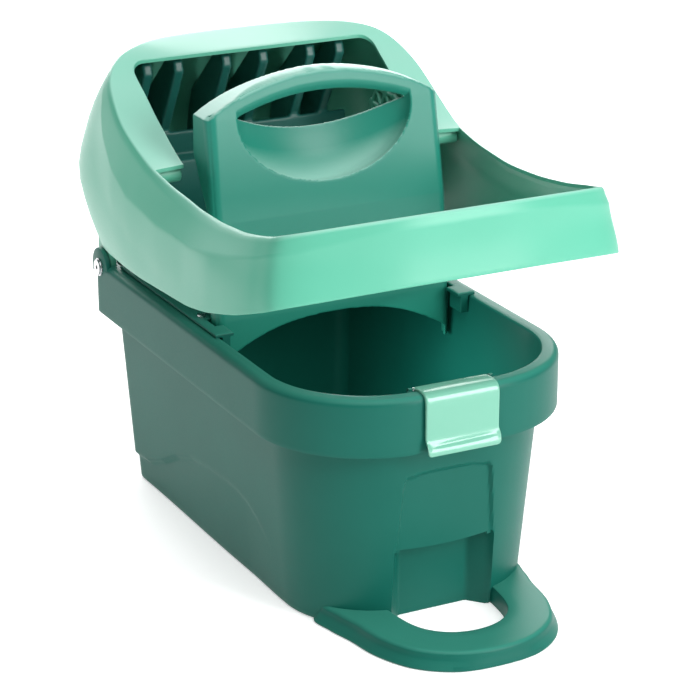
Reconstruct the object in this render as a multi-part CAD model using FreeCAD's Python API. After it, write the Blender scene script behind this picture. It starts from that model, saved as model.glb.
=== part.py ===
"""Press bucket for a floor mop: a moulded tub with a foot loop, a raised
press wall with a carrying handle, and a hinged press lever with its comb.

Millimetres, +Z up. X runs across the bucket, -Y is the foot-loop end and
+Y the hinge end. The origin is the middle of the tub's flat underside.
The lever is drawn at its raised stop.
"""
import FreeCAD, Part
import os
from math import atan2, cos, degrees, hypot, pi, radians, sin

V = FreeCAD.Vector
os.makedirs("parts", exist_ok=True)

# ---- driving dimensions -------------------------------------------------
RIM_HALF_X = 135.0          # outside of the rim band
RIM_HALF_Y = 224.5
RIM_TOP = 211.0
BAND_HEIGHT = 49.0
BAND_THICK = 3.2
RIM_CORNER_FRONT = 100.0
RIM_CORNER_REAR = 16.0
RIM_WIDTH = 15.0            # from the band's outside to the tub's inside
WALL = 3.0
FLOOR = 4.0
BASE_HALF_X_REAR = 111.0
BASE_HALF_X_FRONT = 106.0
BASE_HALF_Y = 199.5
BASE_CORNER_FRONT = 82.0

HINGE_Y = 205.8
HINGE_Z = 206.8
HINGE_PIN_R = 3.0
RUN_CLEARANCE = 0.05
EAR_R = 18.0
EAR_INSIDE_X = 130.5
TAB_INSIDE_X = 123.6
TAB_OUTSIDE_X = 129.8
BUSH_R = 5.5

LEVER_WALL = 3.2

GRID_TOP = 211.0
GRID_THICK = 4.0
WALL_FRONT_Y = 0.0          # front face of the press wall at WALL_KNEE_Z
WALL_KNEE_Z = 300.0
HANDLE_REAR_Y = 44.0

CLIP_HALF_X = 35.0
CLIP_PIN_Y = -206.4
CLIP_PIN_Z = 209.4
CLIP_PIN_R = 1.5


# ---- small drawing helpers ----------------------------------------------
def box(x0, x1, y0, y1, z0, z1):
    return Part.makeBox(x1 - x0, y1 - y0, z1 - z0, V(x0, y0, z0))


def rod(radius, x0, x1, y, z):
    """A cylinder that lies along X."""
    return Part.makeCylinder(radius, x1 - x0, V(x0, y, z), V(1, 0, 0))


def polygon(points):
    return Part.makePolygon(points + [points[0]])


def side_prism(points_yz, half_x):
    """A (y, z) outline pushed across the whole width."""
    face = Part.Face(polygon([V(-half_x, y, z) for y, z in points_yz]))
    return face.extrude(V(2 * half_x, 0, 0))


def mirror_x(shape):
    return shape.mirror(V(0, 0, 0), V(1, 0, 0))


def smooth_loop(points):
    curve = Part.BSplineCurve()
    curve.interpolate(points, PeriodicFlag=True)
    return Part.Wire([curve.toShape()])


def both_sides(half_outline):
    """Close a half outline that runs from the rear middle to the front middle."""
    left = [(-x, y) for x, y in reversed(half_outline) if x > 0]
    return list(half_outline) + left


def inset_outline(points, distance):
    """Move each point of a closed outline inwards along its own normal."""
    moved = []
    count = len(points)
    for i, (x, y) in enumerate(points):
        x0, y0 = points[i - 1]
        x1, y1 = points[(i + 1) % count]
        run_x, run_y = x1 - x0, y1 - y0
        length = hypot(run_x, run_y)
        moved.append((x + distance * run_y / length, y - distance * run_x / length))
    return moved


def save(name, shape):
    shape = shape.removeSplitter()
    solids = shape.Solids
    shape = solids[0] if len(solids) == 1 else Part.makeCompound(solids)
    shape.exportStep("parts/%s.step" % name)
    print("%-20s solids %d  valid %s  volume %.1f cm3" % (
        name, len(solids), shape.isValid(), shape.Volume / 1000.0))


# ---- tub ----------------------------------------------------------------
def plan_wire(z, half_rear, half_front, half_y, r_rear, r_front):
    """Rounded plan outline: big corners at the front, tight ones at the rear."""
    def corner(cx, cy, radius, start):
        pts = []
        for step in (0, 45, 90):
            a = radians(start + step)
            pts.append(V(cx + radius * cos(a), cy + radius * sin(a), z))
        return Part.Arc(*pts).toShape(), pts[0], pts[2]

    rr, a0, a1 = corner(half_rear - r_rear, half_y - r_rear, r_rear, 0)
    rl, b0, b1 = corner(-half_rear + r_rear, half_y - r_rear, r_rear, 90)
    fl, c0, c1 = corner(-half_front + r_front, -half_y + r_front, r_front, 180)
    fr, d0, d1 = corner(half_front - r_front, -half_y + r_front, r_front, 270)
    edges = [rr, Part.makeLine(a1, b0), rl, Part.makeLine(b1, c0),
             fl, Part.makeLine(c1, d0), fr, Part.makeLine(d1, a0)]
    return Part.Wire(edges)


def tub_loft(inset, z_low, z_high):
    """The tapering tub, moved inwards by inset."""
    wires = []
    for z in (z_low, z_high):
        up = z / RIM_TOP
        top_half = RIM_HALF_X - RIM_WIDTH + WALL
        top_half_y = RIM_HALF_Y - RIM_WIDTH + WALL
        rear = BASE_HALF_X_REAR + (top_half - BASE_HALF_X_REAR) * up - inset
        front = BASE_HALF_X_FRONT + (top_half - BASE_HALF_X_FRONT) * up - inset
        length = BASE_HALF_Y + (top_half_y - BASE_HALF_Y) * up - inset
        r_front = BASE_CORNER_FRONT + 6.0 * up - inset
        wires.append(plan_wire(z, rear, front, length, 16.0 - inset, r_front))
    return Part.makeLoft(wires, True, True)


def rim_block(inset, z_low, z_high):
    wire = plan_wire(z_low, RIM_HALF_X - inset, RIM_HALF_X - inset,
                     RIM_HALF_Y - inset, RIM_CORNER_REAR - inset,
                     RIM_CORNER_FRONT - inset)
    return Part.Face(wire).extrude(V(0, 0, z_high - z_low))


PANEL_TOP_Z = 137.0
PANEL_LIP_Z = 67.0
ALCOVE_BACK_Y = -184.0


def front_recess(grow):
    """The shallow front panel and, below its lip, the alcove for the toe."""
    low, high = 46.0 + grow, 41.0 + grow
    outline = [V(-low, -240, PANEL_LIP_Z - 1), V(low, -240, PANEL_LIP_Z - 1),
               V(high, -240, PANEL_TOP_Z - 8 + grow)]
    top = Part.Arc(V(high, -240, PANEL_TOP_Z - 8 + grow),
                   V(0, -240, PANEL_TOP_Z + grow),
                   V(-high, -240, PANEL_TOP_Z - 8 + grow)).toShape()
    edges = [Part.makeLine(outline[0], outline[1]),
             Part.makeLine(outline[1], outline[2]), top,
             Part.makeLine(V(-high, -240, PANEL_TOP_Z - 8 + grow), outline[0])]
    panel = Part.Face(Part.Wire(edges)).extrude(V(0, 80, 0))
    # the panel follows the tub's slope, 3 mm behind its front face
    slope = side_prism([(-250, 60), (-201.0 + grow, 60), (-206.0 + grow, 145),
                        (-250, 145)], 60)
    panel = panel.common(slope)
    wide, narrow = 50.0 + grow, 35.0 + grow
    back = ALCOVE_BACK_Y + grow
    foot = polygon([V(-wide, -240, -1), V(-wide, -197 + grow / 2, -1),
                    V(-narrow, back, -1), V(narrow, back, -1),
                    V(wide, -197 + grow / 2, -1), V(wide, -240, -1)])
    alcove = Part.Face(foot).extrude(V(0, 0, PANEL_LIP_Z + 1 + grow))
    return panel.fuse(alcove)


LOOP_OUTSIDE = [(0, -150), (60, -150), (91, -160), (88, -182), (83, -204),
                (80, -240), (62, -277), (32, -295), (0, -299)]
LOOP_HOLE = [(0, -150), (36, -152), (48, -172), (48, -205), (41, -235),
             (24, -253), (0, -259)]
LOOP_HEIGHT = 16.0


def foot_loop():
    full = both_sides(LOOP_OUTSIDE)
    rings = []
    for z, inset in ((0, 0), (LOOP_HEIGHT - 4, 0), (LOOP_HEIGHT - 1.2, 1.2),
                     (LOOP_HEIGHT, 4.0)):
        rings.append(smooth_loop([V(x, y, z) for x, y in inset_outline(full, inset)]))
    plate = Part.makeLoft(rings, True, True)
    hole = [V(x, y, -1) for x, y in both_sides(LOOP_HOLE)]
    void = Part.Face(smooth_loop(hole)).extrude(V(0, 0, LOOP_HEIGHT + 2))
    return plate.cut(void)


def make_bucket():
    rim = rim_block(0, RIM_TOP - BAND_HEIGHT, RIM_TOP)
    crest = [e for e in rim.Edges
             if min(v.Z for v in e.Vertexes) > RIM_TOP - 0.1]
    rim = rim.makeFillet(6.0, crest)
    rim = rim.cut(rim_block(BAND_THICK, RIM_TOP - BAND_HEIGHT - 1, RIM_TOP - 3.5))
    body = tub_loft(0, 0, RIM_TOP - 1.0).fuse(rim)
    body = body.fuse(foot_loop())
    body = body.cut(front_recess(0))
    cavity = tub_loft(WALL, FLOOR, RIM_TOP + 5).cut(front_recess(WALL))
    body = body.cut(cavity)
    for side in (1, -1):
        ear = rod(EAR_R, EAR_INSIDE_X, RIM_HALF_X, HINGE_Y, HINGE_Z)
        ear = ear.fuse(box(EAR_INSIDE_X, RIM_HALF_X, HINGE_Y - EAR_R - 5,
                           RIM_HALF_Y - 6, 180, HINGE_Z))
        pocket = box(TAB_INSIDE_X - 0.5, EAR_INSIDE_X, HINGE_Y - 19,
                     RIM_HALF_Y - BAND_THICK, 187, RIM_TOP + 2)
        bore = rod(HINGE_PIN_R + RUN_CLEARANCE, 100, 140, HINGE_Y, HINGE_Z)
        boss = rod(8.0, 117.5, TAB_INSIDE_X - 0.5, HINGE_Y, HINGE_Z)
        boss = boss.common(box(110, 140, 150, 222, 195, RIM_TOP))
        if side < 0:
            ear, pocket, bore, boss = [mirror_x(s) for s in (ear, pocket, bore, boss)]
        body = body.fuse(ear).cut(pocket).fuse(boss).cut(bore)
    seat = box(-CLIP_HALF_X - 1, CLIP_HALF_X + 1, -230, -200, RIM_TOP - 1.5, RIM_TOP + 1)
    return body.cut(seat)


# ---- press wall with its handle -------------------------------------------
def wall_outline(inset):
    """The wall seen from the front: straight sides under an arched top."""
    s, t = inset, inset
    top = Part.BSplineCurve()
    top.interpolate([V(110 - s, 0, 386 - t), V(91 - s * 0.5, 0, 397 - t),
                     V(50, 0, 410.5 - t), V(0, 0, 416.5 - t), V(-50, 0, 410.5 - t),
                     V(-91 + s * 0.5, 0, 397 - t), V(-110 + s, 0, 386 - t)])
    low = 114.5 - s
    edges = [Part.makeLine(V(-low, 0, 168), V(low, 0, 168)),
             Part.makeLine(V(low, 0, 168), V(110 - s, 0, 386 - t)),
             top.toShape(),
             Part.makeLine(V(-110 + s, 0, 386 - t), V(-low, 0, 168))]
    face = Part.Face(Part.Wire(edges))
    face.translate(V(0, -30, 0))
    return face.extrude(V(0, 120, 0))


def wall_side(shift):
    """The wall seen from the side, its front face moved back by shift."""
    y = WALL_FRONT_Y + shift
    return side_prism([(y - 5, 160), (y - 5, 215), (y, WALL_KNEE_Z), (y + 14.5, 386),
                       (y + 23, 420), (HANDLE_REAR_Y, 420), (HANDLE_REAR_Y, 352),
                       (11, WALL_KNEE_Z), (8, 215), (8, 160)], 130)


def ellipsoid(cx, cy, cz, rx, ry, rz):
    ball = Part.makeSphere(1.0)
    matrix = FreeCAD.Matrix()
    matrix.scale(rx, ry, rz)
    ball = ball.transformGeometry(matrix)
    ball.translate(V(cx, cy, cz))
    return ball


SCOOP = (0, 14.0, 384.0, 82.0, 28.0, 62.0)


def make_press_wall():
    outside = wall_outline(0).common(wall_side(0))
    hollow = wall_outline(WALL).common(side_prism(
        [(-2, 150), (-2, 215), (3, WALL_KNEE_Z), (17.5, 386), (26, 420),
         (90, 420), (90, 150)], 130))
    bar_low = Part.Arc(V(-112, -30, 382), V(0, -30, 395), V(112, -30, 382)).toShape()
    bar_edges = [bar_low, Part.makeLine(V(112, -30, 382), V(112, -30, 430)),
                 Part.makeLine(V(112, -30, 430), V(-112, -30, 430)),
                 Part.makeLine(V(-112, -30, 430), V(-112, -30, 382))]
    bar_zone = Part.Face(Part.Wire(bar_edges)).extrude(V(0, 120, 0))
    bowl = ellipsoid(*(SCOOP[:3] + tuple(r + WALL for r in SCOOP[3:])))
    wall = outside.cut(hollow.cut(bar_zone).cut(bowl))
    wall = wall.cut(ellipsoid(*SCOOP))
    tip_z = 384.5
    slot_edges = [Part.Arc(V(-81, -30, tip_z), V(0, -30, 399), V(81, -30, tip_z)).toShape(),
                  Part.Arc(V(81, -30, tip_z), V(0, -30, 363.5), V(-81, -30, tip_z)).toShape()]
    slot = Part.Face(Part.Wire(slot_edges)).extrude(V(0, 120, 0))
    wall = wall.cut(slot)
    arch = Part.BSplineCurve()
    arch.interpolate([V(-110, -30, 177), V(-91, -30, 188), V(-60, -30, 201),
                      V(0, -30, 208.5), V(60, -30, 201), V(91, -30, 188),
                      V(110, -30, 177)])
    arch_edges = [arch.toShape(), Part.makeLine(V(110, -30, 177), V(110, -30, 150)),
                  Part.makeLine(V(110, -30, 150), V(-110, -30, 150)),
                  Part.makeLine(V(-110, -30, 150), V(-110, -30, 177))]
    under = Part.Face(Part.Wire(arch_edges)).extrude(V(0, 120, 0))
    return wall.cut(under)


# ---- basket rails and floor -------------------------------------------------
RAIL_SCREWS_Y = (20.0, 120.0)
SCREW_R = 2.0
SCREW_X = 116.2


def make_rail():
    """Right-hand rail: a cheek beside the press space and a flange on the rim."""
    cheek = box(108, 111, 12, 180, GRID_TOP - GRID_THICK - 3, 232)
    flange = box(108, 125, -28, 180, RIM_TOP + 0.2, RIM_TOP + 3.2)
    block = box(111, 118.5, -28, -8, 196, RIM_TOP + 1)
    rail = cheek.fuse(flange).fuse(block)
    # room for the press wall's side
    rail = rail.cut(box(100, 115.2, -6.5, 11.9, 190, 240))
    for y in (-24, -18, -12):
        rail = rail.cut(box(116, 120, y - 1, y + 1, 195, RIM_TOP))
    for y in RAIL_SCREWS_Y:
        boss = Part.makeCylinder(4.5, 14, V(SCREW_X, y, RIM_TOP - 12))
        rail = rail.fuse(boss.common(box(108, 118.5, y - 9, y + 9, 190, 220)))
        rail = rail.cut(Part.makeCylinder(SCREW_R, 30, V(SCREW_X, y, 195)))
    return rail


def make_rail_screws():
    screws = []
    for y in RAIL_SCREWS_Y:
        head = Part.makeCylinder(4.0, 2.2, V(SCREW_X, y, RIM_TOP + 3.2))
        head = head.cut(box(SCREW_X - 2.2, SCREW_X + 2.2, y - 0.5, y + 0.5,
                            RIM_TOP + 4.4, RIM_TOP + 6))
        shank = Part.makeCylinder(SCREW_R - 0.02, 14, V(SCREW_X, y, RIM_TOP - 10.8))
        screws.append(head.fuse(shank))
    screws += [mirror_x(s) for s in screws]
    return Part.makeCompound(screws)


def make_drain_grid():
    grid = box(-107.9, 107.9, 9, 186, GRID_TOP - GRID_THICK, GRID_TOP)
    for row in range(7):
        y = 24 + row * 22.5
        for col in range(4):
            x = -98 + col * 50.5
            slot = box(x + 4, x + 40, y, y + 9, 200, 220)
            slot = slot.fuse(Part.makeCylinder(4.5, 20, V(x + 4, y + 4.5, 200)))
            slot = slot.fuse(Part.makeCylinder(4.5, 20, V(x + 40, y + 4.5, 200)))
            grid = grid.cut(slot)
    return grid


# ---- press lever --------------------------------------------------------------
# Level outlines of the lever's outside, from the rear middle to the front middle.
LEVER_LEVELS = {
    205: [(0, 236), (70, 233), (108, 222), (124, 198), (142, 120), (158, 30),
          (168, -50), (172, -120), (168, -190), (146, -222), (68, -238), (0, -240)],
    262: [(0, 257), (75, 252), (123, 236), (145, 201), (155, 121), (160, 30),
          (166.5, -50), (171, -120), (167, -188), (147, -219), (68, -236), (0, -238)],
    300: [(0, 261), (77, 256), (129, 240), (152, 202), (158, 122), (155.5, 40),
          (156.5, -40), (163, -110), (162, -182), (145, -214), (68, -233), (0, -235)],
    335: [(0, 255), (76, 250), (124, 233), (150, 191), (154.5, 118), (149.5, 40),
          (146.5, -40), (148.5, -105), (152, -176), (138, -205), (66, -226), (0, -229)],
    375: [(0, 236), (74, 232), (115, 216), (144, 174), (151, 113), (147.5, 45),
          (144, -40), (145, -105), (147, -174), (134, -204), (64, -225), (0, -228.5)],
    425: [(0, 196), (56, 191), (94, 175), (129, 147), (143, 102), (141, 40),
          (140, -40), (141, -105), (142, -170), (130, -202), (62, -224), (0, -227)],
}
LEVER_TOP = [(-250, 370), (-225, 361.5), (-206, 354.5), (-186, 348.5), (-176, 346.5),
             (-139, 339), (-95, 334), (-50, 332.6), (8, 337), (43.6, 343), (65, 350.8),
             (85, 359.7), (105, 370), (123, 382.8), (148, 397.2), (165, 411), (175, 416),
             (190, 417), (215, 415), (275, 415)]
LEVER_LOW = [(275, 236), (225, 231), (185, 231), (119, 239), (50, 245), (-22, 254),
             (-68, 259), (-110, 267), (-160, 280), (-192, 290.8), (-205, 295.5),
             (-222, 302.2), (-230, 305.2), (-235, 308), (-240, 310), (-250, 313)]
MOUTH_FRONT_Y = 43.6


def lever_envelope(inset):
    wires = []
    for z, half in sorted(LEVER_LEVELS.items()):
        flat = inset_outline(both_sides(half), inset)
        wires.append(smooth_loop([V(x, y, z) for x, y in flat]))
    shape = Part.makeLoft(wires, True, False)
    if shape.Volume < 0:
        shape.reverse()
    return shape


def lever_opening():
    """The mouth in the hopper face and the wide opening in front of it."""
    half = [(119.5, 20), (119.5, 45), (117.5, 90), (118.2, 147), (116.5, 154),
            (112, 158.5), (106, 160)]
    mouth = [V(x, y, 280) for x, y in half]
    mouth += [V(-x, y, 280) for x, y in reversed(half)]
    mouth = Part.Face(polygon(mouth)).extrude(V(0, 0, 170))
    ring = inset_outline(both_sides(LEVER_LEVELS[335]), 4.0)
    front = Part.Face(smooth_loop([V(x, y, 230) for x, y in ring])).extrude(V(0, 0, 200))
    front = front.common(box(-200, 200, -300, MOUTH_FRONT_Y, 200, 450))
    return mouth.fuse(front)


def make_lever():
    outside = lever_envelope(0).common(side_prism(LEVER_LOW + LEVER_TOP, 200))
    under = [(y, z - LEVER_WALL) for y, z in LEVER_TOP]
    low = [(275, 180), (-250, 180)]
    inside = lever_envelope(LEVER_WALL).common(side_prism(low + under, 200))
    lever = outside.cut(inside).cut(lever_opening())
    for side in (1, -1):
        cheek = side_prism([(60, 318), (61, 344), (85, 357), (105, 367), (123, 379),
                            (148, 393), (152, 372), (128, 352), (90, 334)], 125)
        cheek = cheek.common(Part.Face(polygon(
            [V(118.6, 50, 300), V(121.6, 50, 300), V(121.2, 152, 300),
             V(118.2, 152, 300)])).extrude(V(0, 0, 120)))
        web = box(TAB_INSIDE_X, 160, HINGE_Y - 17, HINGE_Y + 15, 231.5, 262)
        web = web.common(lever_envelope(0.6))
        tab = box(TAB_INSIDE_X, TAB_OUTSIDE_X, HINGE_Y - 15, HINGE_Y + 13, HINGE_Z, 236)
        tab = tab.fuse(rod(14.0, TAB_INSIDE_X, TAB_OUTSIDE_X, HINGE_Y, HINGE_Z))
        bore = rod(BUSH_R, 110, 160, HINGE_Y, HINGE_Z)
        if side < 0:
            cheek, web, tab, bore = [mirror_x(s) for s in (cheek, web, tab, bore)]
        lever = lever.fuse(cheek).fuse(web).fuse(tab).cut(bore)
    return lever


COMB_FINS_X = (18.3, 65.4, 95.2)
FIN_THICK = 9.5


def make_comb():
    """Six fins on a cross bar, with the squeeze plate hanging below it."""
    fin = [(173, 388), (176, 398), (192, 399), (270, 330), (270, 302),
           (214, 302), (208, 328)]
    comb = side_prism([(175, 244), (180, 244), (195, 296), (214, 296), (214, 323),
                       (207, 324), (205, 302), (192, 301)], 118)
    comb = comb.cut(box(104, 130, 150, 201, 230, 310))
    comb = comb.cut(box(-130, -104, 150, 201, 230, 310))
    for x in COMB_FINS_X:
        for side in (1, -1):
            one = side_prism(fin, FIN_THICK / 2)
            one.translate(V(side * x, 0, 0))
            comb = comb.fuse(one)
    inside = lever_envelope(LEVER_WALL + 0.15)
    return comb.common(inside)


def make_lattice():
    """Right-hand triangular stiffening lattice beside the mouth."""
    frame = side_prism([(92, 326), (98, 346), (142, 368), (170, 340), (166, 322)], 60)
    frame = frame.common(box(-2, 2, 0, 300, 200, 450))
    pitch = 18.0
    rise = pitch * sin(radians(60))
    for row in range(3):
        for col in range(6):
            for up in (1, -1):
                cy = 92 + col * pitch + (0 if up > 0 else pitch / 2)
                cy += row % 2 * pitch / 2
                cz = 324 + row * rise
                pts = []
                for k in range(3):
                    a = radians(90 * up + 120 * k)
                    r = pitch * 0.40
                    centre_z = cz + (rise / 3 if up > 0 else rise * 2 / 3)
                    pts.append(V(-10, cy + r * cos(a), centre_z + r * sin(a)))
                frame = frame.cut(Part.Face(polygon(pts)).extrude(V(20, 0, 0)))
    frame.translate(V(124, 0, 0))
    return frame


def make_bush():
    bush = rod(BUSH_R - 0.02, TAB_INSIDE_X, TAB_OUTSIDE_X, HINGE_Y, HINGE_Z)
    return bush.cut(rod(HINGE_PIN_R + RUN_CLEARANCE, 110, 140, HINGE_Y, HINGE_Z))


def make_boss():
    boss = rod(7.0, 120.5, 160, 52.0, 334.0)
    boss = boss.cut(rod(4.5, 119, 140, 52.0, 334.0))
    boss = boss.common(lever_envelope(LEVER_WALL + 0.1))
    return boss


# ---- hinge hardware -------------------------------------------------------------
def make_rivet():
    """Tubular rivet through the ear, the lever's tab and the tub's boss."""
    rivet = rod(HINGE_PIN_R, 118.2, 137.6, HINGE_Y, HINGE_Z)
    rivet = rivet.fuse(rod(7.0, 136.2, 137.8, HINGE_Y, HINGE_Z))
    return rivet.cut(rod(1.9, 130, 139, HINGE_Y, HINGE_Z))


def make_washer():
    washer = rod(8.2, RIM_HALF_X + 0.1, 136.2, HINGE_Y, HINGE_Z)
    return washer.cut(rod(HINGE_PIN_R + RUN_CLEARANCE, 130, 140, HINGE_Y, HINGE_Z))


# ---- rim clip --------------------------------------------------------------------
def make_clip():
    """Latch plate over the front of the rim: top flap, front plate, pull lip."""
    profile = [(-206.4, 209.8), (-206.4, 212.3), (-220, 213.2), (-225.4, 212.0),
               (-228.2, 208.8), (-228.6, 204), (-228.4, 174), (-232.6, 166.6),
               (-233.4, 161.4), (-231.4, 161.2), (-229.2, 167), (-225.6, 172),
               (-225.4, 203), (-224.7, 207.4), (-222.8, 209.8)]
    clip = side_prism(profile, CLIP_HALF_X)
    clip = clip.fuse(rod(2.9, -CLIP_HALF_X, CLIP_HALF_X, CLIP_PIN_Y, CLIP_PIN_Z))
    bore = rod(CLIP_PIN_R + RUN_CLEARANCE, -50, 50, CLIP_PIN_Y, CLIP_PIN_Z)
    return clip.cut(bore)


def make_clip_pin():
    """Steel pin with its two bearing blocks' ends let into the rim."""
    pin = rod(CLIP_PIN_R, -CLIP_HALF_X - 3, CLIP_HALF_X + 3, CLIP_PIN_Y, CLIP_PIN_Z)
    return pin


def make_clip_bearing():
    bearing = box(CLIP_HALF_X + 0.4, CLIP_HALF_X + 3.4, -209.0, CLIP_PIN_Y,
                  CLIP_PIN_Z - 2.9, CLIP_PIN_Z + 2.9)
    bearing = bearing.fuse(rod(2.9, CLIP_HALF_X + 0.4, CLIP_HALF_X + 3.4,
                               CLIP_PIN_Y, CLIP_PIN_Z))
    return bearing.cut(rod(CLIP_PIN_R + 0.02, -60, 60, CLIP_PIN_Y, CLIP_PIN_Z))


# ---- write every piece ------------------------------------------------------------
save("bucket", make_bucket())
save("press_wall", make_press_wall())
save("drain_grid", make_drain_grid())
save("rail_screws", make_rail_screws())
save("press_lever", make_lever())
save("press_comb", make_comb())
save("rim_clip", make_clip())
save("clip_pin", make_clip_pin())
for piece, maker in (("basket_rail", make_rail), ("side_lattice", make_lattice),
                     ("hinge_bush", make_bush), ("guide_boss", make_boss),
                     ("hinge_rivet", make_rivet), ("hinge_washer", make_washer),
                     ("clip_bearing", make_clip_bearing)):
    right = maker()
    save(piece + "_right", right)
    save(piece + "_left", mirror_x(right))
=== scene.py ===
# Press bucket for a floor mop: a moulded tub with a foot loop, a press wall with
# a carrying handle, and a hinged lever with its comb. Metres, in the CAD frame;
# sizes below are written in millimetres and scaled by MM.
import bpy
import math
import numpy as np
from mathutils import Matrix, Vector


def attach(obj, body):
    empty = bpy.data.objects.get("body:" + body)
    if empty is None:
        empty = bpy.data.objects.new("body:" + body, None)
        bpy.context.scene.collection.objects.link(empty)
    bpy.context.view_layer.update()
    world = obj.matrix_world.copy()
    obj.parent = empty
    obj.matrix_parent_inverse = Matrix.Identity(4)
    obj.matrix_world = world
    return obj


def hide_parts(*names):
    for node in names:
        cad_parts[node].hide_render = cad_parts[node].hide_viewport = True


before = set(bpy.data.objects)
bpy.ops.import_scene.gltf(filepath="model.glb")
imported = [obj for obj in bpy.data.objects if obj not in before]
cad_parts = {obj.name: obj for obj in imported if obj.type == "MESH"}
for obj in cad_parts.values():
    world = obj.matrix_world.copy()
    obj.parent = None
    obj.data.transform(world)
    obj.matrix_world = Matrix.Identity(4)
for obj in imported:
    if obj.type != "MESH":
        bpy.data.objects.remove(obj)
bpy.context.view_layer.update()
MM = 0.001


# ---- Studio ----------------------------------------------------------------
# A pale floor that glows faintly, a broad soft box at the front right, a wide one
# behind for the rims, soft light from above, and a small lamp inside the tub that
# the camera doesn't see.
def plain_paint(name, colour, rough):
    paint = bpy.data.materials.new(name)
    paint.use_nodes = True
    shader = paint.node_tree.nodes["Principled BSDF"]
    shader.inputs["Base Color"].default_value = (*colour, 1)
    shader.inputs["Roughness"].default_value = rough
    return paint


bpy.ops.mesh.primitive_plane_add(size=30, location=(0, 0, 0))
floor = bpy.context.object
floor.name = "studio_floor"
floor.data.materials.append(plain_paint("floor_paint", (0.88, 0.88, 0.88), 0.9))
glow = floor.data.materials[0].node_tree.nodes["Principled BSDF"]
glow.inputs["Emission Color"].default_value = (1, 1, 1, 1)
glow.inputs["Emission Strength"].default_value = 0.4

aim = Vector((0.00507, -0.01771, 0.17755))
eye = bpy.data.objects.new("camera", bpy.data.cameras.new("camera"))
eye.location = (-0.9527, -1.8827, 0.9493)
eye.rotation_euler = (aim - eye.location).to_track_quat("-Z", "Y").to_euler()
eye.data.lens = 133.29
eye.data.sensor_width = 36
eye.data.clip_end = 50
bpy.context.scene.collection.objects.link(eye)
bpy.context.scene.camera = eye


def soft_box(name, place, target, width, height, power):
    lamp = bpy.data.objects.new(name, bpy.data.lights.new(name, "AREA"))
    lamp.data.shape = "RECTANGLE"
    lamp.data.size, lamp.data.size_y = width, height
    lamp.data.energy = power
    lamp.location = place
    lamp.visible_camera = False
    lamp.rotation_euler = (Vector(target) - Vector(place)).to_track_quat("-Z", "Y").to_euler()
    bpy.context.scene.collection.objects.link(lamp)


# broad light first, then the lamp that fills the tub
soft_box("right_box", (1.05, -2.2, 0.95), (0.05, -0.2, 0.3), 0.8, 1.6, 52)
soft_box("rear_box", (0.7, 2.6, 1.35), (0, 0, 0.3), 3.2, 1.8, 95)
soft_box("tub_filler", (-0.04, -0.045, 0.198), (0.01, -0.1, 0.0), 0.1, 0.1, 0.6)
noon = bpy.data.objects.new("open_shade", bpy.data.lights.new("open_shade", "SUN"))
noon.data.energy = 2.2
noon.data.angle = math.radians(60)
noon.rotation_euler = (math.radians(24), math.radians(-6), 0)
bpy.context.scene.collection.objects.link(noon)
sky = bpy.data.worlds.new("studio_sky")
sky.use_nodes = True
sky.node_tree.nodes["Background"].inputs["Color"].default_value = (1, 1, 1, 1)
sky.node_tree.nodes["Background"].inputs["Strength"].default_value = 0.2
bpy.context.scene.world = sky
bpy.context.scene.view_settings.view_transform = "Standard"


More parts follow.
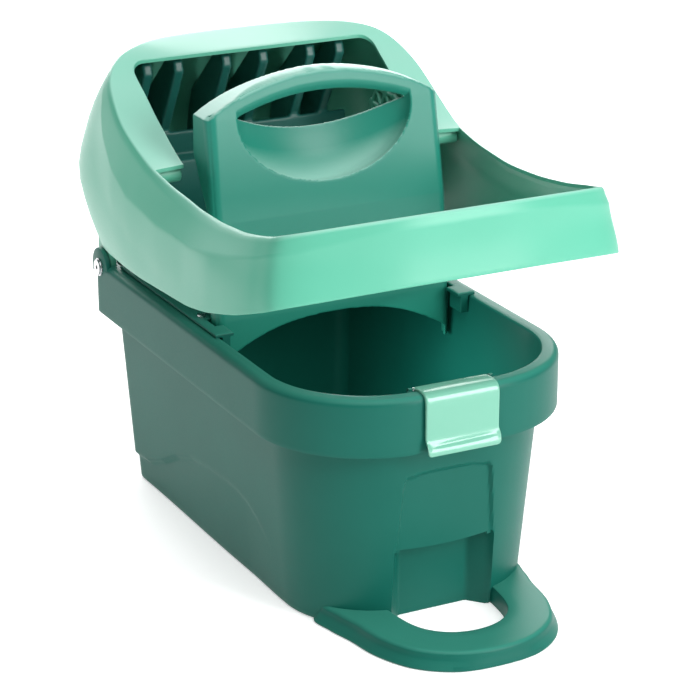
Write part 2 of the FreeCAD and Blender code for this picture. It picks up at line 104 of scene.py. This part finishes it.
# ---- Tub ---------------------------------------------------------------------
# The bucket itself, one injection moulding in dark green polypropylene: drawn
# sides, a deep rolled rim band, a stepped side panel and a sunk front panel
# over the toe alcove. The skin is 3 mm thick, and the rim is hollow below.
def moulded_plastic(name, colour, deep, rough=0.42, grain=0.035, shine=0.5,
                    top_sheen=0.0, pale=(0.42, 0.72, 0.62)):
    """Polypropylene: faint flow mottling, a moulded grain, and a painted sheen that makes upward faces
    paler.
    """
    finish = bpy.data.materials.new(name)
    finish.use_nodes = True
    tree = finish.node_tree
    shader = tree.nodes["Principled BSDF"]
    where = tree.nodes.new("ShaderNodeTexCoord")
    flow = tree.nodes.new("ShaderNodeTexNoise")
    flow.inputs["Scale"].default_value = 9.0
    flow.inputs["Detail"].default_value = 4.0
    flow.inputs["Roughness"].default_value = 0.55
    tree.links.new(where.outputs["Object"], flow.inputs["Vector"])
    tones = tree.nodes.new("ShaderNodeValToRGB")
    tones.color_ramp.elements[0].position = 0.3
    tones.color_ramp.elements[0].color = (*deep, 1)
    tones.color_ramp.elements[1].position = 0.7
    tones.color_ramp.elements[1].color = (*colour, 1)
    tree.links.new(flow.outputs["Fac"], tones.inputs["Fac"])
    # painted sheen: the colour is mixed towards a pale tint the more a face points up, standing in for
    # light on top faces
    facing = tree.nodes.new("ShaderNodeNewGeometry")
    split = tree.nodes.new("ShaderNodeSeparateXYZ")
    tree.links.new(facing.outputs["Normal"], split.inputs["Vector"])
    lift = tree.nodes.new("ShaderNodeMapRange")
    lift.inputs["From Min"].default_value = 0.35
    lift.inputs["From Max"].default_value = 0.95
    lift.inputs["To Max"].default_value = top_sheen
    tree.links.new(split.outputs["Z"], lift.inputs["Value"])
    lifted = tree.nodes.new("ShaderNodeMix")
    lifted.data_type = "RGBA"
    lifted.inputs["B"].default_value = (*pale, 1)
    tree.links.new(lift.outputs["Result"], lifted.inputs["Factor"])
    tree.links.new(tones.outputs["Color"], lifted.inputs["A"])
    tree.links.new(lifted.outputs["Result"], shader.inputs["Base Color"])
    fine = tree.nodes.new("ShaderNodeTexNoise")
    fine.inputs["Scale"].default_value = 700.0
    fine.inputs["Detail"].default_value = 3.0
    tree.links.new(where.outputs["Object"], fine.inputs["Vector"])
    gloss = tree.nodes.new("ShaderNodeMapRange")
    gloss.inputs["To Min"].default_value = rough - 0.05
    gloss.inputs["To Max"].default_value = rough + 0.06
    tree.links.new(fine.outputs["Fac"], gloss.inputs["Value"])
    tree.links.new(gloss.outputs["Result"], shader.inputs["Roughness"])
    relief = tree.nodes.new("ShaderNodeBump")
    relief.inputs["Strength"].default_value = grain
    relief.inputs["Distance"].default_value = 0.0004
    tree.links.new(fine.outputs["Fac"], relief.inputs["Height"])
    tree.links.new(relief.outputs["Normal"], shader.inputs["Normal"])
    shader.inputs["Specular IOR Level"].default_value = shine
    return finish


def skin(name, rows, finish, body, round_rows=False, caps=(), sharp=35.0):
    """Quads between neighbouring rows of points round a ring, in millimetres."""
    points = np.asarray(rows, float)
    count, across = points.shape[:2]
    faces = []
    for i in range(count if round_rows else count - 1):
        here, above = i * across, (i + 1) % count * across
        for j in range(across):
            k = (j + 1) % across
            faces.append((here + j, here + k, above + k, above + j))
    for row in caps:
        ring = [row % count * across + j for j in range(across)]
        faces.append(ring[::-1] if row == 0 else ring)
    return solid(name, points.reshape(-1, 3) * MM, faces, finish, body, sharp)


def solid(name, points, faces, finish, body, sharp=35.0):
    mesh = bpy.data.meshes.new(name)
    mesh.from_pydata([tuple(p) for p in points], [], faces)
    mesh.validate()
    piece = bpy.data.objects.new(name, mesh)
    bpy.context.scene.collection.objects.link(piece)
    mesh.materials.append(finish)
    shade(piece, sharp)
    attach(piece, body)
    return piece


def shade(piece, sharp):
    piece.data.polygons.foreach_set("use_smooth", [True] * len(piece.data.polygons))
    piece.data.set_sharp_from_angle(angle=math.radians(sharp))


def ease(t):
    t = np.clip(t, 0.0, 1.0)
    return t * t * (3 - 2 * t)


# the tub's upward faces get a painted sheen: a paler green mixed in as they face up
tub_green = moulded_plastic("tub_green_plastic", (0.006, 0.112, 0.084), (0.004, 0.101, 0.075),
                            shine=0.16, top_sheen=0.4, pale=(0.07, 0.36, 0.27))

RIM_TOP, CREST = 211.0, 6.0
SKIN = 3.0


def taper(z, inset):
    """The drawn tub's plan at height z: half widths, half length and corners."""
    up = z / RIM_TOP
    return np.array([111 + 12 * up - inset, 106 + 17 * up - inset, 199.5 + 13 * up - inset,
                     16.0 - min(inset, 13), 82 + 6 * up - inset, z])


def rim(z, inset):
    return np.array([135 - inset, 135 - inset, 224.5 - inset, max(16 - inset, 1.5),
                     100 - inset, z])


def plan(shape):
    """Points round the tub at one level, from the rear middle clockwise."""
    rear, front, length, r_rear, r_front, z = shape
    half = [(x * (rear - r_rear), length) for x in np.linspace(0, 1, 14)]
    for a in np.radians(np.linspace(90, 0, 9))[1:]:
        half.append((rear - r_rear + r_rear * math.cos(a), length - r_rear + r_rear * math.sin(a)))
    top, low = length - r_rear, -length + r_front
    for t in np.linspace(0, 1, 92)[1:]:
        half.append((rear + (front - rear) * t, top + (low - top) * t))
    stop = math.acos(min(1, (62 - (front - r_front)) / r_front))
    for a in np.linspace(0, stop, 24)[1:]:
        half.append((front - r_front + r_front * math.cos(a),
                     -length + r_front - r_front * math.sin(a)))
    for x in np.arange(60.5, -0.1, -1.5)[:-1]:
        over = max(x - (front - r_front), 0)
        half.append((x, -length + r_front - math.sqrt(r_front ** 2 - over ** 2)))
    half.append((0.0, -length))
    half = np.array(half)
    left = half[1:-1][::-1] * [-1, 1]
    ring = np.vstack([half, left])
    return np.column_stack([ring, np.full(len(ring), z)])


def side_step(ring):
    """The lower side panel, sunk behind an S-shaped step that dies out in front."""
    x, y, z = ring.T
    curve = np.interp(y, [-110, -95, -78, -59, -40, -19, 15, 55, 90, 125, 160, 200],
                      [34, 50, 62, 70.8, 75, 76, 74, 69, 58, 40, 27, 24])
    below = ease((curve - z + 2.5) / 5.0)
    fade = ease((y + 108) / 60)
    depth = (1.2 + 2.3 * ease((y + 20) / 180)) * below * fade * ease((np.abs(x) - 95) / 8)
    depth = depth * ease((199 - y) / 8 + 0.35)
    moved = ring.copy()
    moved[:, 0] -= np.sign(x) * depth
    return moved


def front_panel(ring, skin_back=0.0):
    """Sinks the front panel and, under its lip, the alcove for the toe."""
    x, y, z = ring.T
    ax = np.abs(x)
    top = 138.0 - 3.5 * (ax / 41.0) ** 2
    wide = 46.0 - 5.0 * (z - 66) / 63.0
    corner = np.clip((z - (top - 8)) / 8, 0, 1)
    inside = ease((wide - 2.2 * corner ** 2 + 0.6 - ax) / 3.0) * ease((top + 1.5 - z) / 5.5)
    plane = np.interp(z, [60, 145], [-199.2, -204.2])
    sunk = y + np.maximum(plane - y, 0.0) * inside
    lip = 67.0 + 3.0 * (ax / 46.0) ** 2
    floor_y = np.interp(ax, [0, 31, 33, 45.0, 46.8, 48.0], [-180, -180, -181, -195, -199, -260])
    alcove = np.maximum(floor_y, y)
    front = (y < -150) & (ax < 60)
    result = np.where(front & (z < 66.95), alcove, np.where(front & (z < 150), sunk, y))
    moved = ring.copy()
    moved[:, 1] = np.where(front, result + skin_back * (result > y + 0.01), y)
    sag = 3.0 * (np.minimum(ax, 50) / 46.0) ** 2
    warp = np.where(front, sag * np.exp(-((z - 67) / 9.0) ** 2), 0)
    moved[:, 2] += warp * (result > y + 0.01)
    return moved


levels = sorted(set(list(np.round(np.arange(5.4, 66, 2.4), 2)) + [66.9, 67.0] +
                    list(np.round(np.arange(69, 150, 2.4), 2)) + [156, 170, 190, 204]))
tub_rows = [plan(taper(0, 12)), plan(taper(0, 3))]
tub_rows += [plan(taper(z, i)) for z, i in ((0.9, 0.9), (3.0, 0))]
tub_rows += [plan(taper(z, 0)) for z in levels]
tub_rows = [side_step(front_panel(r)) for r in tub_rows]
under = [taper(207.4, 0) * (1 - t) + rim(207.4, 3.2) * t for t in (0.15, 0.9, 1.0)]
tub_rows += [plan(s) for s in under]
tub_rows += [plan(rim(z, 3.2)) for z in (206, 185, 163)]
tub_rows += [plan(rim(z, i)) for z, i in ((162.2, 2.7), (162, 2.0), (162, 1.0),
                                           (162.3, 0.3), (163, 0))]
tub_rows += [plan(rim(z, 0)) for z in (166, 176, 186, 196, 204)]
tub_rows += [plan(rim(RIM_TOP - CREST + CREST * math.sin(a), CREST * (1 - math.cos(a))))
             for a in np.radians(np.linspace(0, 90, 8))]
tub_rows += [plan(rim(RIM_TOP, i)) for i in (7.5, 10, 12)]
tub_rows += [plan(rim(RIM_TOP - 2.5 + 2.5 * math.cos(a), 12.5 + 2.5 * math.sin(a)))
             for a in np.radians((30, 60, 90))]
inner = [plan(taper(z, SKIN)) for z in [200, 180, 165, 150] + levels[::-1][4:]]
FLOOR_Z, FLOOR_ROUND = 4, 8
inner += [plan(taper(FLOOR_Z + FLOOR_ROUND - FLOOR_ROUND * math.sin(a),
                     SKIN + FLOOR_ROUND - FLOOR_ROUND * math.cos(a)))
          for a in np.radians((15, 40, 65, 90))]
inner += [plan(taper(FLOOR_Z, 30))]
inner = [side_step(front_panel(r, SKIN)) for r in inner]
tub_rows += inner
tub = skin("tub_shell", tub_rows, tub_green, "tub",
           caps=(0, len(tub_rows) - 1), sharp=30)
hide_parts("bucket")


# ---- Foot loop -----------------------------------------------------------------
# The ring at the tub's foot that a boot holds down while the mop is pressed,
# moulded in one with the tub: a flat plate with a rounded upper edge.
def smooth_ring(half, count):
    """An even closed curve through a half outline and its mirror image."""
    full = np.array(list(half) + [(-x, y) for x, y in reversed(half) if x > 0], float)
    n = len(full)
    out = []
    for i in range(n):
        a, b, c, d = (full[(i + k) % n] for k in (-1, 0, 1, 2))
        for t in np.linspace(0, 1, 24, endpoint=False):
            out.append(0.5 * (2 * b + (c - a) * t + (2 * a - 5 * b + 4 * c - d) * t ** 2
                              + (3 * b - a - 3 * c + d) * t ** 3))
    out = np.array(out)
    run = np.r_[0, np.cumsum(np.linalg.norm(np.diff(np.vstack([out, out[:1]]), axis=0), axis=1))]
    at = np.linspace(0, run[-1], count, endpoint=False)
    closed = np.vstack([out, out[:1]])
    return np.column_stack([np.interp(at, run, closed[:, 0]), np.interp(at, run, closed[:, 1])])


def pull_in(ring, distance):
    run = np.roll(ring, -1, 0) - np.roll(ring, 1, 0)
    run /= np.linalg.norm(run, axis=1)[:, None]
    return ring + distance * np.column_stack([run[:, 1], -run[:, 0]])


loop_edge = smooth_ring([(0, -150), (58, -150), (92, -156), (90, -182), (85, -204),
                         (79, -238), (63, -270), (34, -291), (0, -297)], 220)
loop_foot = smooth_ring([(0, -150), (58, -150), (97, -155), (96, -181), (90, -206),
                         (83.5, -240), (66.5, -273), (37, -294), (0, -299)], 220)
loop_hole = smooth_ring([(0, -150), (36, -152), (48, -172), (48, -205), (41, -235),
                         (24, -253), (0, -259)], 220)
loop_rows = []
for z, t in ((0.8, 0.05), (2.0, 0.0), (5.0, 0.35), (8.0, 0.7), (11.0, 1.0)):
    loop_rows.append(np.column_stack([loop_foot * (1 - t) + loop_edge * t, np.full(220, z)]))
for a in np.radians((15, 30, 45, 60, 75, 90)):
    loop_rows.append(np.column_stack([pull_in(loop_edge, 4 * (1 - math.cos(a))),
                                      np.full(220, 12 + 4 * math.sin(a))]))
for t in (0.15, 0.4, 0.7):
    flat = pull_in(loop_edge, 4) * (1 - t) + pull_in(loop_hole, -2) * t
    loop_rows.append(np.column_stack([flat, np.full(220, 16.0)]))
for a in np.radians((90, 45, 0)):
    loop_rows.append(np.column_stack([pull_in(loop_hole, -2 * (1 - math.cos(a))),
                                      np.full(220, 14 + 2 * math.sin(a))]))
loop_rows.append(np.column_stack([loop_hole, np.full(220, 0.0)]))
loop_rows.append(np.column_stack([pull_in(loop_foot, 2.0), np.full(220, 0.0)]))
foot_loop = skin("foot_loop", loop_rows, tub_green, "tub", round_rows=True)


# ---- Hinge ears ------------------------------------------------------------------
# Two lobes moulded on the rim's rear ends. The lever's tabs sit inside them, and
# a tubular rivet goes through both.
def lobe(side):
    """A D-shaped plate: a full round above the rim, straight sides below."""
    outline = [(205.8 + 18 * math.cos(a), 206.8 + 18 * math.sin(a))
               for a in np.radians(np.linspace(-14, 194, 42))]
    outline = [(223.3, 200)] + outline + [(187.6, 200)]
    middle = np.array([204, 200.0])
    ring = np.array(outline)
    rows = []
    for x, draw in ((130.5, 0.6), (131.1, 0), (133.7, 0), (134.5, 0.35), (134.9, 1.1)):
        inward = (middle - ring) / np.linalg.norm(middle - ring, axis=1)[:, None]
        edge = ring + inward * draw
        rows.append(np.column_stack([np.full(len(edge), side * x), edge]))
    return skin("hinge_ear_" + ("right" if side > 0 else "left"), rows, tub_green,
                "tub", caps=(0, len(rows) - 1))


for side in (1, -1):
    lobe(side)


# ---- Press wall and carrying handle ---------------------------------------------
# A separate moulding clipped over the tub: a broad shield with a scooped grip,
# the grip slot and the handle bar across its arched top. Its edges are generous.
def softened(name, node, grid, passes, finish, body, sharp=80.0):
    """The moulding with its edges rounded as a tool maker leaves them."""
    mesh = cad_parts[node].data.copy()
    piece = bpy.data.objects.new(name, mesh)
    bpy.context.scene.collection.objects.link(piece)
    bpy.context.view_layer.objects.active = piece
    weave = piece.modifiers.new("even_skin", "REMESH")
    weave.mode, weave.voxel_size = "VOXEL", grid * MM
    relax = piece.modifiers.new("relax", "SMOOTH")
    relax.iterations, relax.factor = passes, 0.5
    bpy.context.view_layer.update()
    ready = piece.evaluated_get(bpy.context.evaluated_depsgraph_get())
    done = bpy.data.meshes.new_from_object(ready)
    piece.modifiers.clear()
    piece.data = done
    done.materials.clear()
    done.materials.append(finish)
    shade(piece, sharp)
    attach(piece, body)
    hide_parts(node)
    return piece


# the wall's upward faces get a painted sheen: a paler green mixed in as they face up
wall_green = moulded_plastic("press_wall_plastic", (0.018, 0.205, 0.150),
                             (0.014, 0.192, 0.138), 0.34,
                              shine=0.27, top_sheen=0.6)
press_wall = softened("press_wall_shell", "press_wall", 1.0, 8, wall_green, "tub")


def finish_wall(piece):
    """Fills out the handle bar above the slot and rounds the upright corners."""
    spots = np.empty(len(piece.data.vertices) * 3)
    piece.data.vertices.foreach_get("co", spots)
    spots = spots.reshape(-1, 3) / MM
    x, y, z = spots.T
    ax = np.abs(x)
    front = np.interp(z, [215, 300, 386, 420], [-5, 0, 14.5, 23])
    slot_top = 384.5 + 14.5 * (1 - (x / 81) ** 2)
    arch = np.interp(ax, [0, 25, 50, 70, 91, 110], [416.5, 415.2, 410.5, 405, 397, 386])
    bowl = (x / 82) ** 2 + ((y - 14) / 28) ** 2 + ((z - 384) / 62) ** 2
    up = np.clip((z - slot_top) / np.maximum(arch - slot_top, 1), 0, 1)
    bar = (bowl > 0.88) & (bowl < 1.12) & (z > slot_top - 1.0) & (ax < 86)
    face = (front + 6.0 * np.clip(1 - up * 1.8, 0, 1) ** 2
            + 1.6 * np.clip((up - 0.85) / 0.15, 0, 1) ** 2)
    y = np.where(bar, np.minimum(y, face), y)
    side = np.interp(z, [168, 386], [114.5, 110])
    round_off = 9.0
    a, b = np.maximum(side - ax, 0), np.maximum(y - front, 0)
    deep = np.minimum(a, b)
    near = (a < round_off) & (b < round_off) & (deep < 4.5)
    left = round_off - deep
    turn = np.where(a > b, (left - (a - deep)) / left, 1 + (b - deep) / left) * math.pi / 4
    ax = np.where(near, side - round_off + left * np.sin(turn), ax)
    y = np.where(near, front + round_off - left * np.cos(turn), y)
    moved = np.column_stack([np.sign(x) * ax, y, z])
    piece.data.vertices.foreach_set("co", (moved * MM).ravel())
    piece.data.update()


finish_wall(press_wall)


# ---- Basket rails, drain floor and screws ----------------------------------------
# The press basket's two side rails and its slotted floor, dark green mouldings
# let into the tub, each rail held by two steel screws.
for node in ("basket_rail_right", "basket_rail_left"):
    softened(node + "_moulding", node, 0.8, 3, tub_green, "tub")
softened("drain_floor", "drain_grid", 1.2, 3, tub_green, "tub")


def bright_steel(name, colour, rough):
    """Zinc-plated steel with fine turning marks."""
    finish = bpy.data.materials.new(name)
    finish.use_nodes = True
    tree = finish.node_tree
    shader = tree.nodes["Principled BSDF"]
    shader.inputs["Metallic"].default_value = 1.0
    where = tree.nodes.new("ShaderNodeTexCoord")
    marks = tree.nodes.new("ShaderNodeTexNoise")
    marks.inputs["Scale"].default_value = 1500.0
    tree.links.new(where.outputs["Object"], marks.inputs["Vector"])
    tones = tree.nodes.new("ShaderNodeValToRGB")
    tones.color_ramp.elements[0].color = (*[c * 0.8 for c in colour], 1)
    tones.color_ramp.elements[1].color = (*colour, 1)
    tree.links.new(marks.outputs["Fac"], tones.inputs["Fac"])
    tree.links.new(tones.outputs["Color"], shader.inputs["Base Color"])
    gloss = tree.nodes.new("ShaderNodeMapRange")
    gloss.inputs["To Min"].default_value = rough - 0.06
    gloss.inputs["To Max"].default_value = rough + 0.08
    tree.links.new(marks.outputs["Fac"], gloss.inputs["Value"])
    tree.links.new(gloss.outputs["Result"], shader.inputs["Roughness"])
    return finish


def paint_node(node, finish):
    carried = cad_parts[node]
    carried.data.materials.clear()
    carried.data.materials.append(finish)


steel = bright_steel("plated_steel", (0.72, 0.73, 0.75), 0.25)
paint_node("rail_screws", steel)


# ---- Press lever --------------------------------------------------------------------
# The light green hood that is pushed down: a deep collar round the front opening
# and a hopper over the press space, one thin-walled moulding, open below.
# the hood's upward faces get a painted sheen: a paler mint mixed in as they face up
lever_mint = moulded_plastic("lever_mint_plastic", (0.095, 0.400, 0.278),
                             (0.087, 0.382, 0.262), 0.36,
                              shine=0.36, top_sheen=0.6)

# the hood's outside at rising levels, from the rear middle to the front middle
HOOD_LEVELS = {
    205: [(0, 236), (70, 233), (108, 222), (124, 198), (142, 120), (158, 30),
          (168, -50), (172, -120), (168, -190), (146, -222), (68, -238), (0, -240)],
    262: [(0, 257), (75, 252), (123, 236), (145, 201), (155, 121), (160, 30),
          (166.5, -50), (171, -120), (167, -188), (147, -219), (68, -236), (0, -238)],
    300: [(0, 261), (77, 256), (129, 240), (152, 202), (158, 122), (155.5, 40),
          (156.5, -40), (163, -110), (162, -182), (145, -214), (68, -233), (0, -235)],
    335: [(0, 255), (76, 250), (124, 233), (150, 191), (154.5, 118), (149.5, 40),
          (146.5, -40), (148.5, -105), (152, -176), (138, -205), (66, -226), (0, -229)],
    375: [(0, 236), (74, 232), (115, 216), (144, 174), (151, 113), (147.5, 45),
          (144, -40), (145, -105), (147, -174), (134, -204), (64, -225), (0, -228.5)],
    425: [(0, 196), (56, 191), (94, 175), (129, 147), (143, 102), (141, 40),
          (140, -40), (141, -105), (142, -170), (130, -202), (62, -224), (0, -227)],
}
HOOD_TOP = [(-250, 370), (-225, 361.5), (-206, 354.5), (-186, 348.5), (-176, 346.5),
            (-139, 339), (-95, 334), (-50, 332.6), (8, 337), (43.6, 343), (65, 350.8),
            (85, 359.7), (105, 370), (123, 382.8), (148, 397.2), (165, 411), (175, 416),
            (190, 417), (215, 415), (275, 415)]
HOOD_LOW = [(-250, 313), (-240, 310), (-235, 308), (-230, 305.2), (-222, 302.2),
            (-205, 295.5), (-192, 290.8), (-160, 280), (-110, 267), (-68, 259),
            (-22, 254), (50, 245), (119, 239), (185, 231), (225, 231), (275, 236)]
HOOD_WALL = 3.2


def spline(knots, values, at):
    """A smooth curve through a few values, as a pattern maker fairs a batten."""
    knots, values = np.asarray(knots, float), np.asarray(values, float)
    slope = np.gradient(values, knots, axis=0)
    i = np.clip(np.searchsorted(knots, at) - 1, 0, len(knots) - 2)
    h = knots[i + 1] - knots[i]
    t = (at - knots[i]) / h
    shape = (slice(None),) + (None,) * (values.ndim - 1)
    t, h = t[shape], h[shape]
    return ((2 * t ** 3 - 3 * t ** 2 + 1) * values[i] + (t ** 3 - 2 * t ** 2 + t) * h * slope[i]
            + (3 * t ** 2 - 2 * t ** 3) * values[i + 1] + (t ** 3 - t ** 2) * h * slope[i + 1])


def fair(table, y):
    """A profile along the length, rounded slightly at its corners."""
    ys, zs = np.array(table, float).T
    return sum(np.interp(y + d, ys, zs) for d in (-9, -4.5, 0, 4.5, 9)) / 5


HOOD_Z = np.array(sorted(HOOD_LEVELS), float)


def hood_level(at):
    """The hood's outside at every level for the columns at."""
    out = []
    for z in HOOD_Z:
        half = np.array(HOOD_LEVELS[int(z)], float)
        before = half[1:3][::-1] * [-1, 1]
        after = half[-3:-1][::-1] * [-1, 1]
        full = np.vstack([before, half, after])
        out.append(spline(np.arange(-2, 14), full, at))
    return np.array(out)


# where round the hood its columns stand: 0 rear middle to 11 front middle
COLS = np.concatenate([np.linspace(0, 4, 49), np.linspace(4, 11, 113)[1:]])
LEVEL_PTS = hood_level(COLS)


def hood_skin(z):
    """Points of the hood's outside at one height for each column."""
    z = np.broadcast_to(z, COLS.shape)
    out = np.empty((len(COLS), 2))
    for j in range(len(COLS)):
        out[j] = spline(HOOD_Z, LEVEL_PTS[:, j], np.array([z[j]]))[0]
    return out


def meet(table):
    """Heights at which each column meets a profile drawn along the length."""
    z = np.full(len(COLS), 320.0)
    for _ in range(12):
        z = 0.5 * z + 0.5 * fair(table, hood_skin(z)[:, 1])
    return z


top_z, low_z = meet(HOOD_TOP), meet(HOOD_LOW)
edge_xy = hood_skin(top_z)
STEP_Y = 43.6
step_col = int(np.argmin(np.abs(edge_xy[:, 1] - STEP_Y)))

# the opening: the collar's own edge in front of the step, the mouth behind it
def pull_outline(xy, distance):
    full = np.vstack([xy, (xy * [-1, 1])[1:-1][::-1]])
    distance = np.broadcast_to(distance, len(xy))
    return pull_in(full, np.r_[distance, distance[1:-1][::-1]][:, None])[:len(xy)]


mouth = np.zeros((len(COLS), 2))
for j, (x, y) in enumerate(edge_xy):
    if y < 146:
        mouth[j] = (np.interp(y, [40, 45, 90, 147], [119.5, 119.5, 117.5, 118.2]), y)
last = int(np.max(np.nonzero(edge_xy[:, 1] >= 146)[0]))
bend = [(118.2 - 12 + 12 * math.cos(a), 148 + 12 * math.sin(a))
        for a in np.radians(np.linspace(90, 0, 9))]
path = np.array([(0, 160), (55, 160), (98, 160)] + bend + [(118.2, 146)])
run = np.r_[0, np.cumsum(np.linalg.norm(np.diff(path, axis=0), axis=1))]
share = np.r_[0, np.cumsum(np.linalg.norm(np.diff(edge_xy[:last + 1], axis=0), axis=1))]
share = share / share[-1] * run[-1]
mouth[:last + 1, 0] = np.interp(share, run, path[:, 0])
mouth[:last + 1, 1] = np.interp(share, run, path[:, 1])
is_collar = np.arange(len(COLS)) > step_col
lip = np.where(is_collar[:, None], pull_outline(edge_xy, 2.4), mouth)
lip[step_col, 1] = STEP_Y
lip[step_col + 1, 1] = min(lip[step_col + 1, 1], STEP_Y - 0.3)
lip_z = fair(HOOD_TOP, lip[:, 1])

# a soft crease runs round the collar and climbs to the hopper's rim
crease_z = np.interp(edge_xy[:, 1],
                     [-240, -227, -206, -177, -128, -58, 15, 76, 106, 128, 143, 160, 275],
                     [357, 354, 341, 331, 318.5, 305, 303, 311, 327, 352, 380, 398, 398])
crease_out = np.interp(edge_xy[:, 1], [-235, -215, -170, -60, 60, 120, 145, 160],
                       [2.6, 3.0, 4.2, 4.6, 4.4, 3.2, 1.2, 0])


def hood_shell(z, inset=0.0):
    """The envelope with its crease pushed out, moved in by inset."""
    up = np.clip((top_z - z) / np.maximum(top_z - crease_z, 3.0), 0, 1)
    down = np.clip(1 - (crease_z - z) / 42.0, 0, 1)
    push = crease_out * np.where(z > crease_z, up, down)
    return pull_outline(hood_skin(z), inset - push)


def hood_rows():
    rows = []
    crease = np.minimum(crease_z, top_z - 5.0)
    shoulder_z = top_z - 1.6
    stops = [low_z, low_z + 0.5, low_z + 1.2]
    stops += [low_z + (crease - low_z) * t for t in np.linspace(0.08, 0.9, 10)]
    stops += [crease - 2.5, crease, crease + 2.2]
    stops += [crease + 2.2 + (shoulder_z - crease - 2.2) * t for t in (0.25, 0.5, 0.75, 1.0)]
    for k, z in enumerate(stops):
        rows.append(np.column_stack([hood_shell(z, (1.0, 0.25)[k] if k < 2 else 0.0), z]))
    for inset, drop in ((0.35, 0.7), (1.0, 0.15), (1.7, 0.0)):
        rows.append(np.column_stack([pull_outline(edge_xy, inset), top_z - drop]))
    edge = rows[-1]
    inner_edge = np.column_stack([lip, lip_z])
    for t in (0.08, 0.3, 0.6, 0.9, 0.98):
        rows.append(edge * (1 - t) + inner_edge * t)
    rows.append(inner_edge - [0, 0, 0.25])
    rows.append(inner_edge - [0, 0, 0.9])
    rows.append(inner_edge - [0, 0, HOOD_WALL])
    under_z = top_z - HOOD_WALL - 0.4
    under_edge = np.column_stack([hood_shell(under_z, HOOD_WALL), under_z])
    rows.append((inner_edge - [0, 0, HOOD_WALL]) * 0.5 + under_edge * 0.5)
    for t in np.linspace(1, 0, 12):
        z = low_z + (under_z - low_z) * t
        rows.append(np.column_stack([hood_shell(z, HOOD_WALL), z]))
    return rows


whole = []
for row in hood_rows():
    mirrored = (row * [-1, 1, 1])[1:-1][::-1]
    whole.append(np.vstack([row, mirrored]))
hood = skin("lever_hood", whole, lever_mint, "lever", round_rows=True, sharp=38)
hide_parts("press_lever")


# ---- Hinge tabs -----------------------------------------------------------------------
# The hood's two tabs come down inside the tub's ears, ribbed to the hood's wall.
def bar_between(name, outline, x0, x1, finish, body, soft=0.8):
    """A flat plate with softened edges, its outline given along the side view."""
    ring = np.array(outline, float)
    middle = ring.mean(0)
    rows = []
    for x, draw in ((x0, soft), (x0 + soft * 0.3, soft * 0.3), (x0 + soft, 0),
                    (x1 - soft, 0), (x1 - soft * 0.3, soft * 0.3), (x1, soft)):
        inward = (middle - ring) / np.linalg.norm(middle - ring, axis=1)[:, None]
        rows.append(np.column_stack([np.full(len(ring), x), ring + inward * draw]))
    return skin(name, rows, finish, body, caps=(0, len(rows) - 1))


for side, word in ((1, "right"), (-1, "left")):
    tab = [(205.8 + 14 * math.cos(a), 206.8 + 14 * math.sin(a))
           for a in np.radians(np.linspace(180, 360, 24))]
    tab = tab + [(219.5, 236), (219.5, 262), (190.8, 262), (190.8, 236)]
    ends = sorted((side * 123.6, side * 129.8))
    bar_between("hinge_tab_" + word, tab, ends[0], ends[1],
                lever_mint, "lever")


# ---- Press comb ------------------------------------------------------------------------
# Six fins on a cross bar under the hopper with the squeeze plate below, a dark
# green moulding clipped into the hood.
comb_green = moulded_plastic("comb_plastic", (0.016, 0.130, 0.108), (0.013, 0.118, 0.096),
                             0.34, shine=0.35)
softened("comb_moulding", "press_comb", 1.3, 4, comb_green, "lever")

for node in ("side_lattice_right", "side_lattice_left", "guide_boss_right", "guide_boss_left"):
    softened(node + "_moulding", node, 0.7, 2, lever_mint, "lever")


# ---- Hinge hardware ----------------------------------------------------------------------
# Tubular steel rivets on bright washers, turning in white acetal bushes.
bush_white = moulded_plastic("bush_acetal", (0.75, 0.75, 0.72), (0.68, 0.68, 0.65), 0.35)
for word in ("right", "left"):
    paint_node("hinge_bush_" + word, bush_white)
    paint_node("hinge_rivet_" + word, steel)
    paint_node("hinge_washer_" + word, steel)


# ---- Rim clip ------------------------------------------------------------------------------
# The light green latch plate that folds over the front of the rim on a steel pin.
clip_mint = moulded_plastic("clip_mint_plastic", (0.150, 0.400, 0.295), (0.137, 0.382, 0.280),
                            0.18, 0.02, shine=0.5)
def cut_corners(ring, times):
    for _ in range(times):
        ahead = np.roll(ring, -1, 0)
        ring = np.stack([ring * 0.75 + ahead * 0.25, ring * 0.25 + ahead * 0.75], 1).reshape(-1, 2)
    return ring


plate = cut_corners(np.array([
    (-203.6, 210.6), (-205.2, 212.4), (-212, 213.3), (-219, 213.6), (-224.6, 212.6), (-228.0, 209.4),
    (-228.9, 204.5), (-228.8, 196), (-228.7, 184), (-228.7, 175), (-229.6, 171.6), (-231.6, 168.4),
    (-232.9, 165.6), (-233.3, 162.2), (-232.6, 161.0), (-231.4, 161.6), (-230.6, 165.2), (-228.6, 168.6),
    (-226.4, 171.4), (-225.7, 175), (-225.6, 190), (-225.5, 203), (-224.7, 207.6), (-222.6, 210.2),
    (-219, 210.8), (-212, 210.6), (-206, 209.8), (-204, 209.6)]), 2)
plate_rows = []
for x, draw in ([(-33.4, 0.9), (-33.1, 0.3), (-32.5, 0)]
                + [(x, 0) for x in np.linspace(-31.5, 31.5, 43)]
                + [(32.5, 0), (33.1, 0.3), (33.4, 0.9)]):
    y, z = pull_in(plate, -draw).T
    low = np.clip((176 - z) / 8, 0, 1)
    z = z + low * (3.4 - math.sqrt(3.4 ** 2 - max(abs(x) - 30.0, 0) ** 2))
    groove = (1 - (x / 34.0) ** 2) * np.exp(-((z - 169.6 - x * 0.02) / 1.5) ** 2)
    y = y + np.where(y < -228.6, 1.3 * groove, 0)
    plate_rows.append(np.column_stack([np.full(len(y), x), y, z]))
latch = skin("latch_plate", plate_rows, clip_mint, "clip",
             caps=(0, len(plate_rows) - 1), sharp=50)
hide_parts("rim_clip")
paint_node("clip_pin", steel)
paint_node("clip_bearing_right", tub_green)
paint_node("clip_bearing_left", tub_green)
